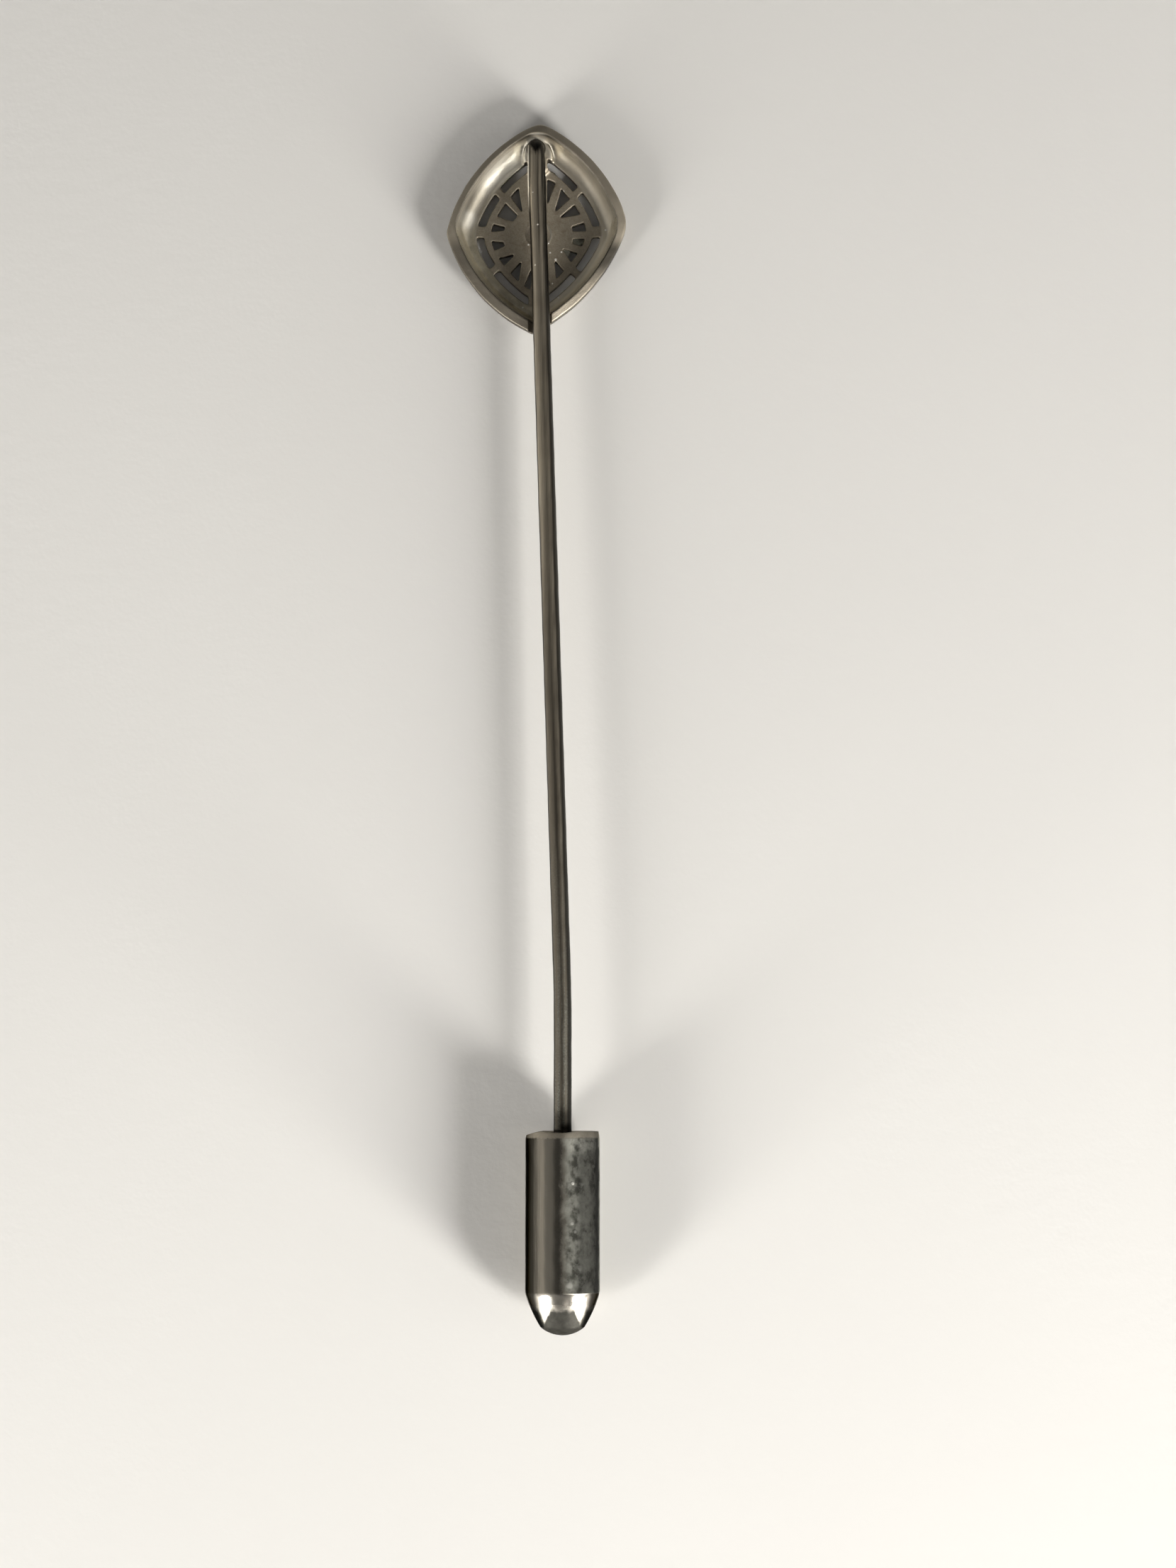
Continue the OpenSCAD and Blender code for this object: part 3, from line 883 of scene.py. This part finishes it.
def antique_metal():
    """Cast metal of the plaque: painted highlights in the trough, brown on the plate, black in
    hollows and in lines of painted shade.
    """
    s = Shader("antique_metal")
    x, y = s.x, s.y
    crest, border = s.attribute("crest"), s.attribute("border")
    hollow, rim = s.attribute("hollow"), s.attribute("rim")
    blotch = s.noise(1.1, 5, 0.6)
    mottle = s.noise(4.5, 5, 0.65)
    grain = s.noise(13, 4, 0.65)
    scratches = s.noise(1.0, 4, 0.6, s.stretched(16, 1.2, 16))
    trough = s.times(s.fit(crest, 0.05, 0.22), s.fit(border, -0.05, 0.12))
    plate = s.fit(border, 0.10, -0.06)
    upper = s.along(s.sum(y, s.times(blotch, 1.5)), -0.3, 2.2)
    low = s.along(y, -0.2, -1.2)
    lower_right_light = s.times(s.less(1.0, upper), s.across(x, -0.5, 1.0))
    left = s.across(s.sum(x, blotch), 0.5, -1.0)
    on_right = s.across(x, -0.5, 0.5)

    # The trough's lighter colour goes on its upper half (upper): painted highlight where the
    # windows glint there.
    bright = s.mix(mottle, *ANTIQUE["trough"])
    # Painted highlight: near-white high in the trough's upper left and on one spot in its left
    # corner.
    painted_glint = s.times(s.along(s.sum(y, s.times(blotch, 0.8)), 2.4, 4.4), left)
    painted_glint = s.most(painted_glint, s.dots([GLINT_SPOT], 0.9))
    bright = s.mix(painted_glint, bright, ANTIQUE["glint_white"])
    # The trough's lower half keeps a duller tone. On the lower right it is made lighter as painted
    # light.
    dull = s.mix(s.fit(blotch, 0.35, 0.6), *ANTIQUE["dull"])
    dull = s.mix(lower_right_light, dull, ANTIQUE["lower_right_light"])

    bevel = s.mix(blotch, *ANTIQUE["bevel"])
    # Painted shade on the bevels by side: darkest on the lower left, dark on the lower right near
    # its corner and less so towards the notch, a little lighter on the upper right.
    lit_end = s.along(y, -1.8, -3.6, 0.17, 0.6)
    high_shade = s.blend(on_right, 1.0, 1.06)
    low_shade = s.blend(on_right, 0.45, lit_end)
    bevel = s.shade(bevel, s.blend(low, high_shade, low_shade))

    brown = s.mix(mottle, *ANTIQUE["plate"])
    brown = s.mix(s.times(s.fit(blotch, 0.5, 0.7), 0.5), brown, ANTIQUE["plate_dark"])
    brown = s.shade(brown, s.fit(grain, 0.30, 0.70, 0.86, 1.14))
    from_middle = s.attribute("from_middle")
    # Painted shade on the boss's left part, and a painted glint along its right rim.
    on_boss = s.fit(from_middle, BOSS_R + 0.04, BOSS_R - 0.04)
    brown = s.shade(brown, s.blend(s.times(on_boss, s.across(x, -0.3, -0.5)), 1.0, 0.62))
    boss_glint = s.times(s.band(from_middle, BOSS_R + 0.02, 0.06), s.across(x, 0.40, 0.60), plate)

    colour = s.mix(trough, bevel, s.mix(upper, dull, bright))
    colour = s.mix(plate, colour, brown)
    # Painted shade just inside the crest on the trough's upper left, fading out near the top.
    crest_band_shade = s.times(s.fit(crest, 0.55, 0.18), trough, left, upper, s.along(y, 3.4, 1.8))
    colour = s.shade(colour, s.blend(crest_band_shade, 1.0, 0.38))

    # Black: grime in the hollows and a faint second line in the trough, with painted shade in a
    # thin line at the crest and a painted shadow beside the wire.
    crest_shade_line = s.band(crest, 0.03, 0.075)
    second_line = s.times(s.band(crest, 0.15, 0.035), s.fit(blotch, 0.42, 0.55), 0.3)
    grime_and_shade = s.fit(s.sum(hollow, s.times(mottle, 0.4)), 0.50, 1.0)
    wire_shadow = s.fit(s.attribute("by_wire"), 0.10, 0.02)
    dark = s.most(s.times(grime_and_shade, 0.85), s.times(crest_shade_line, 0.85), second_line, wire_shadow)
    colour = s.mix(dark, colour, ANTIQUE["grime_and_shade"])

    # Brightened colour: wear on the plaque's edges, with painted glints along the solder's edge on
    # the right and along the boss's right rim.
    worn_edge = s.times(s.fit(hollow, -0.06, -0.32), s.fit(rim, 0.15, 0.4), 0.85)
    solder_glint = s.band(s.attribute("solder"), 0.05, 0.05)
    solder_glint = s.times(solder_glint, s.fit(blotch, 0.35, 0.5), on_right, 0.6)
    brightened = s.most(worn_edge, solder_glint, s.times(boss_glint, 0.8))
    colour = s.mix(brightened, colour, ANTIQUE["brightened"])
    # Tiny beads painted as bright glints, nearly without metal.
    beads = s.dots(BEAD_GLINTS)
    colour = s.mix(beads, colour, ANTIQUE["bead"])
    residue = s.fit(s.attribute("residue"), 0.06, 0.0)
    old_polish = s.mix(grain, *ANTIQUE["residue"])
    colour = s.mix(residue, colour, old_polish)
    # Painted shade: faces turned sideways or down are darker.
    under = s.fit(s.sum(s.upward, s.times(blotch, 0.2)), 0.50, 0.0)
    colour = s.shade(colour, s.blend(under, 1.0, 0.55))

    rough = s.blend(plate, 0.36, 0.48)
    rough = s.sum(rough, s.times(grain, 0.14), s.times(dark, 0.15))
    rough = s.blend(brightened, rough, 0.22)
    bumps = s.bump(grain, 0.006)
    bumps = s.bump(mottle, 0.014, bumps)
    bumps = s.bump(s.times(scratches, trough), 0.006, bumps)
    bumps = s.bump(beads, 0.004, bumps)
    metal = s.blend(brightened, s.blend(plate, s.blend(trough, 0.72, 0.82), 0.68), 1.0)
    metal = s.blend(s.most(residue, beads), metal, 0.2)
    return s.finish(Base_Color=colour, Metallic=metal, Roughness=rough, Normal=bumps)


WIRE = {
    "plain": ((0.38, 0.328, 0.25, 1), (0.485, 0.433, 0.345, 1)),
    "frost": ((0.22, 0.22, 0.19, 1), (0.52, 0.53, 0.47, 1)),
    "painted_black": (0.02, 0.017, 0.013, 1),
    "film": (0.86, 0.82, 0.73, 1),
}


def drawn_wire():
    """The stem: streaked, frosted towards its point, with painted black shade at its sides and its
    soldered end.
    """
    s = Shader("drawn_wire")
    x, y = s.x, s.y
    streaks = s.noise(1.0, 5, 0.6, s.stretched(9, 0.25, 9))
    fine = s.noise(1.0, 4, 0.6, s.stretched(30, 1.4, 30))
    patches = s.noise(0.5, 4, 0.6)
    speck = s.noise(9, 4, 0.7)
    frost = s.along(y, -30, -50)
    plain = s.mix(patches, *WIRE["plain"])
    colour = s.mix(s.fit(streaks, 0.38, 0.62), s.shade(plain, 0.76), plain)
    frosted = s.mix(s.fit(speck, 0.38, 0.72), *WIRE["frost"])
    colour = s.mix(s.times(frost, s.fit(streaks, 0.4, 0.6), 0.85), colour, frosted)

    # Painted black shade on the wire's soldered end, where it turns down into the trough; a painted
    # shadow at the clutch's mouth, reaching further up the wire on its right; and dark lines along
    # its sides on the head where there is no film.
    off_middle = s.math("ABSOLUTE", s.less(x, STAR[0] + FOOT[0]))
    painted_black = s.sum(y, s.times(off_middle, -1.6), s.times(speck, 0.3))
    painted_black = s.along(painted_black, STEM_TOP_Y - 1.15, STEM_TOP_Y - 0.75)
    mouth = STAR[1] + MOUTH_Y
    right_part = s.across(s.sum(x, s.times(speck, 0.2)), CLUTCH_X - 0.15, CLUTCH_X + 0.1)
    at_mouth = s.most(s.band(y, mouth, 0.16), s.times(s.band(y, mouth + 0.15, 0.5), right_part))
    beside = s.attribute("beside")
    on_head = s.along(y, -5.0, -2.5)
    film = s.fit(s.attribute("film"), 0.25, 0.6)
    at_sides = s.band(s.math("ABSOLUTE", beside), 0.86, 0.13)
    side_line = s.times(on_head, at_sides, s.less(1.0, film))
    dark = s.most(painted_black, s.times(at_mouth, 0.9), s.times(side_line, 0.95))
    colour = s.mix(dark, colour, WIRE["painted_black"])

    # Painted shade: the wire's sides darken by which way they face, from higher up on the right;
    # faces turned down get some back.
    aslant = s.sum(s.upward, s.times(streaks, 0.12))
    lit_left, lit_right = s.fit(aslant, 0.42, 0.66), s.fit(aslant, 0.82, 1.08)
    brightened = s.blend(s.fit(s.rightward, -0.1, 0.1), lit_left, lit_right)
    low_side = s.fit(s.upward, 0.35, -0.05, 0.0, 0.7)
    colour = s.shade(colour, s.most(s.blend(brightened, 0.10, 1.0), low_side))
    # Painted dark reflection along the wire's middle, on the head and on the wire's lower part.
    top_line = s.band(s.sum(beside, s.times(streaks, 0.1)), 0.10, 0.16)
    top_line = s.times(top_line, s.along(y, -3.0, 0.5))
    low_line = s.band(s.sum(beside, s.times(patches, 0.4)), 0.17, 0.26)
    low_line = s.times(low_line, s.along(y, -27, -32), 0.75)
    colour = s.shade(colour, s.blend(s.most(top_line, low_line), 1.0, 0.42))
    # Below the head the wire is darker, more so further down; on its upward left side this is
    # painted shade that dims the left window's highlight.
    on_left = s.times(s.fit(s.rightward, 0.05, -0.15), s.fit(s.upward, 0.1, 0.5))
    right_darker_down, left_darker_down = s.along(y, -21, -29, 0.80, 0.62), s.along(y, -15, -25, 1.0, 0.5)
    darker_down = s.blend(on_left, right_darker_down, left_darker_down)
    colour = s.shade(colour, s.blend(on_head, darker_down, 1.0))
    # The solder film's pale colour, and tiny beads painted as bright glints.
    beads = s.dots(WIRE_BEAD_GLINTS, 0.9)
    colour = s.mix(s.most(film, beads), colour, WIRE["film"])

    rough = s.sum(s.blend(frost, 0.24, 0.42), s.times(fine, 0.16), s.times(dark, 0.2))
    bumps = s.bump(fine, 0.004)
    bumps = s.bump(speck, 0.006, bumps)
    bumps = s.bump(beads, 0.004, bumps)
    metal = s.blend(beads, s.blend(dark, 0.82, 1.0), 0.2)
    return s.finish(Base_Color=colour, Metallic=metal, Roughness=rough, Normal=bumps)


NICKEL = {
    "smooth": ((0.42, 0.385, 0.32, 1), (0.52, 0.485, 0.415, 1)),
    "frosted": ((0.115, 0.115, 0.098, 1), (0.33, 0.333, 0.295, 1)),
    "mottled": (0.44, 0.44, 0.395, 1),
    "nick": (0.80, 0.80, 0.74, 1),
    "scuffed": (0.66, 0.66, 0.59, 1),
    "nose": (0.66, 0.62, 0.55, 1),
    "tip": ((0.03, 0.03, 0.027, 1), (0.10, 0.097, 0.086, 1)),
    "lip": ((0.40, 0.355, 0.285, 1), (0.60, 0.545, 0.445, 1)),
    "glance": (0.25, 0.25, 0.24, 1),
}


def worn_nickel():
    """The clutch's shell: smooth on its left, frosted on its right, burnished on its nose."""
    s = Shader("worn_nickel")
    x, y = s.x, s.y
    middle = CLUTCH_X + STAR[0]
    mouth = MOUTH_Y + STAR[1]
    shoulder = mouth - CLUTCH_L + NOSE_L
    tip = mouth - CLUTCH_L

    wander = s.noise(0.9, 4)
    cloud = s.noise(1.0, 4, 0.5, s.stretched(1.9, 1.3, 1.9))
    mottle = s.noise(3.0, 5, 0.6)
    grain = s.noise(8, 4, 0.65)
    streaks = s.noise(1.0, 4, 0.6, s.stretched(10, 0.3, 10))
    nose = s.fit(y, shoulder + 0.06, shoulder - 0.06)
    # The tip's dull, dark mottled tone, its upper edge drawn in a V round the two glints as painted
    # shade so that they taper.
    off_glints = s.math("ABSOLUTE", s.less(s.math("ABSOLUTE", s.less(x, middle)), 1.0))
    dull_and_shade_line = s.sum(y, s.times(mottle, 0.5), s.times(s.math("MINIMUM", off_glints, 0.35), -2.2))
    tip_dull_and_shade = s.times(nose, s.fit(dull_and_shade_line, tip + 1.36, tip + 0.78))
    right = s.sum(x, s.times(wander, 0.35), s.times(mottle, 0.25))
    right = s.fit(right, middle + 0.08, middle + 0.68)
    frosted = s.times(right, s.less(1.0, nose))
    lip = s.fit(s.sum(y, s.times(grain, 0.12)), mouth - LIP_L - 0.02, mouth - LIP_L + 0.12)

    smooth = s.mix(streaks, *NICKEL["smooth"])
    cool = s.mix(s.fit(cloud, 0.36, 0.60), *NICKEL["frosted"])
    cool = s.mix(s.times(s.fit(mottle, 0.46, 0.62), 0.5), cool, NICKEL["mottled"])
    marks = s.dots(NICKS, from_x=CLUTCH_X, from_y=MOUTH_Y)
    cool = s.mix(marks, cool, NICKEL["nick"])
    scuff_reach = s.sum(y, s.times(cloud, 1.2))
    scuffed = s.times(s.fit(scuff_reach, mouth - 0.65, mouth - 0.15), s.fit(mottle, 0.30, 0.50))
    scuff_share = s.times(scuffed, s.fit(cloud, 0.3, 0.6, 0.5, 1.0))
    cool = s.mix(scuff_share, cool, NICKEL["scuffed"])
    colour = s.mix(frosted, smooth, cool)
    colour = s.mix(nose, colour, NICKEL["nose"])
    colour = s.mix(tip_dull_and_shade, colour, s.mix(mottle, *NICKEL["tip"]))
    lip_colour = s.mix(grain, *NICKEL["lip"])
    colour = s.mix(s.times(lip, 0.85), colour, lip_colour)

    # Painted shade: the shell's sides and the nose's edges darken by which way they face, less on
    # the lip and the scuffed patch; faces turned down get some back.
    left_shade = s.fit(s.sum(s.upward, s.times(streaks, 0.10)), 0.66, 0.90, 0.11, 0.86)
    aslant = s.sum(s.upward, s.times(cloud, 0.10))
    right_shade = s.fit(aslant, 0.91, 1.09, 0.17, 0.76)
    right_shade = s.times(right_shade, s.fit(aslant, 0.30, 0.85, 0.04, 0.95))
    right_shade = s.blend(s.times(scuffed, s.fit(s.rightward, 0.75, 0.0)), right_shade, 0.5)
    low_side = s.fit(s.upward, 0.38, 0.0, 0.0, 0.65)
    nose_side = s.fit(s.math("ABSOLUTE", s.rightward), 0.60, 0.78, 1.0, 0.12)
    nose_shade = s.most(nose_side, low_side)
    lip_shade = s.times(lip, s.fit(s.upward, 0.0, 0.7, 0.2, 0.8))
    lip_shade = s.times(lip_shade, s.fit(s.rightward, 0.1, 0.7, 1.0, 0.35))
    side_shade = s.most(s.blend(right, left_shade, right_shade), lip_shade, low_side)
    colour = s.shade(colour, s.blend(nose, side_shade, nose_shade))

    rough = s.blend(frosted, 0.16, 0.52)
    rough = s.blend(tip_dull_and_shade, rough, 0.60)
    rough = s.blend(lip, rough, 0.42)
    rough = s.sum(rough, s.times(grain, 0.10))
    bumps = s.bump(s.times(grain, s.blend(frosted, 0.3, 1.0)), 0.006)
    bumps = s.bump(s.times(mottle, frosted), 0.02, bumps)
    bumps = s.bump(marks, 0.02, bumps)
    metal = s.blend(frosted, 1.0, 0.6)
    return s.finish(
        Base_Color=colour, Metallic=metal, Roughness=rough, Normal=bumps,
        Specular_Tint=NICKEL["glance"],
    )


BRASS = ((0.22, 0.155, 0.075, 1), (0.48, 0.38, 0.21, 1))
PAPER = ((0.78, 0.775, 0.76, 1), (0.82, 0.815, 0.80, 1))


def dull_brass():
    """The insert that grips the stem."""
    s = Shader("dull_brass")
    colour = s.mix(s.noise(3, 5), *BRASS)
    rough = s.sum(0.34, s.times(s.noise(9, 4), 0.25))
    bumps = s.bump(s.noise(12, 3), 0.01)
    return s.finish(Base_Color=colour, Metallic=1.0, Roughness=rough, Normal=bumps)


def pale_paper():
    s = Shader("pale_floor")
    tone = s.mix(s.noise(0.02, 3), *PAPER)
    bumps = s.bump(s.noise(1.2, 4), 0.02)
    return s.finish(Base_Color=tone, Roughness=0.9, Normal=bumps)


# Camera, floor and light

CAMERA_H = 184.9
NADIR = (2.958, -51.198)  # the point under the camera
TILT = math.radians(5.76)
FOCAL_PX = 4500.0
FRAME_PX = 2212.0
SENSOR = 36.0
CLIP_START = 0.005
CLIP_END = 20.0

# Area lights. azimuth: 0 is towards +X, 90 towards +Y. low, high: how far above the floor the light
# reaches. wide: how far across. These are in degrees. away: metres from the pin.
WARM = (1.0, 0.97, 0.92)
LIGHTS = (
    {"name": "right_window", "azimuth": -44.5, "low": 1, "high": 32, "wide": 11.5,
     "away": 0.32, "radiance": 52, "colour": WARM},
    {"name": "left_window", "azimuth": -136, "low": 1, "high": 28, "wide": 11.5,
     "away": 0.32, "radiance": 34, "colour": WARM},
    {"name": "right_card", "azimuth": -10, "low": 3, "high": 40, "wide": 24,
     "away": 1.2, "radiance": 1.6, "colour": WARM},
    {"name": "left_card", "azimuth": 180, "low": 2, "high": 32, "wide": 44,
     "away": 1.2, "radiance": 0.30, "colour": (1.0, 0.94, 0.86)},
    {"name": "front_card", "azimuth": -76, "low": 26, "high": 46, "wide": 14,
     "away": 1.2, "radiance": 0.6, "colour": (1.0, 0.95, 0.88)},
)


def camera():
    data = bpy.data.cameras.new("camera")
    data.sensor_width = SENSOR
    data.lens = FOCAL_PX / FRAME_PX * SENSOR
    data.clip_start = CLIP_START
    data.clip_end = CLIP_END
    made = new_object("camera", data)
    made.location = ((NADIR[0] + STAR[0]) * MM, (NADIR[1] + STAR[1]) * MM, CAMERA_H * MM)
    made.rotation_euler = (TILT, 0, 0)
    bpy.context.scene.camera = made


def floor():
    half = 1.5
    corners = [(-half, -half, 0), (half, -half, 0), (half, half, 0), (-half, half, 0)]
    mesh = bpy.data.meshes.new("floor")
    mesh.from_pydata(corners, [], [(0, 1, 2, 3)])
    mesh.materials.append(pale_paper())
    new_object("floor", mesh)


def softbox(name, azimuth, low, high, wide, away, radiance, colour):
    """Area light that looks at the pin."""
    a, e = math.radians(azimuth), math.radians((low + high) / 2)
    data = bpy.data.lights.new(name, "AREA")
    data.shape = "RECTANGLE"
    data.size = 2 * away * math.tan(math.radians(wide / 2))
    data.size_y = 2 * away * math.tan(math.radians((high - low) / 2))
    data.energy = radiance * math.pi * data.size * data.size_y
    data.color = colour
    made = new_object(name, data)
    level = away * math.cos(e)
    made.location = (level * math.cos(a), level * math.sin(a), away * math.sin(e))
    made.rotation_euler = (math.pi / 2 - e, 0, a + math.pi / 2)
    made.visible_camera = False


def room():
    """Dim room, darkest overhead and beyond the pin's head."""
    world = bpy.data.worlds.new("room")
    world.use_nodes = True
    s = Nodes(world.node_tree)
    way = s.axes(s.add("ShaderNodeTexCoord").outputs["Generated"])
    level = s.fit(way["Z"], 0.84, 0.93, 0.22, 0.05)
    beyond = s.fit(way["Y"], 0.30, 0.80, 1.0, 0.5)
    near = s.fit(way["Y"], -0.75, -0.45, 0.5, 1.0)
    background = world.node_tree.nodes["Background"].inputs
    s.set(background["Color"], (*WARM, 1))
    s.set(background["Strength"], s.times(level, beyond, near))
    bpy.context.scene.world = world


def attach(piece, material, body, slot, *nodes):
    piece.data.materials.append(material)
    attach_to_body(piece, body)
    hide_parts(*nodes)


camera()
floor()
for light in LIGHTS:
    softbox(**light)
room()
bpy.context.scene.view_settings.view_transform = "Standard"
attach(plaque(), antique_metal(), "pin", "antique_metal", "head_and_stem")
attach(wire(), drawn_wire(), "pin", "antique_metal", "head_and_stem")
attach(shell(), worn_nickel(), "clutch", "worn_nickel", "clutch_shell")
attach(grip(), dull_brass(), "clutch", "dull_brass", "clutch_grip")
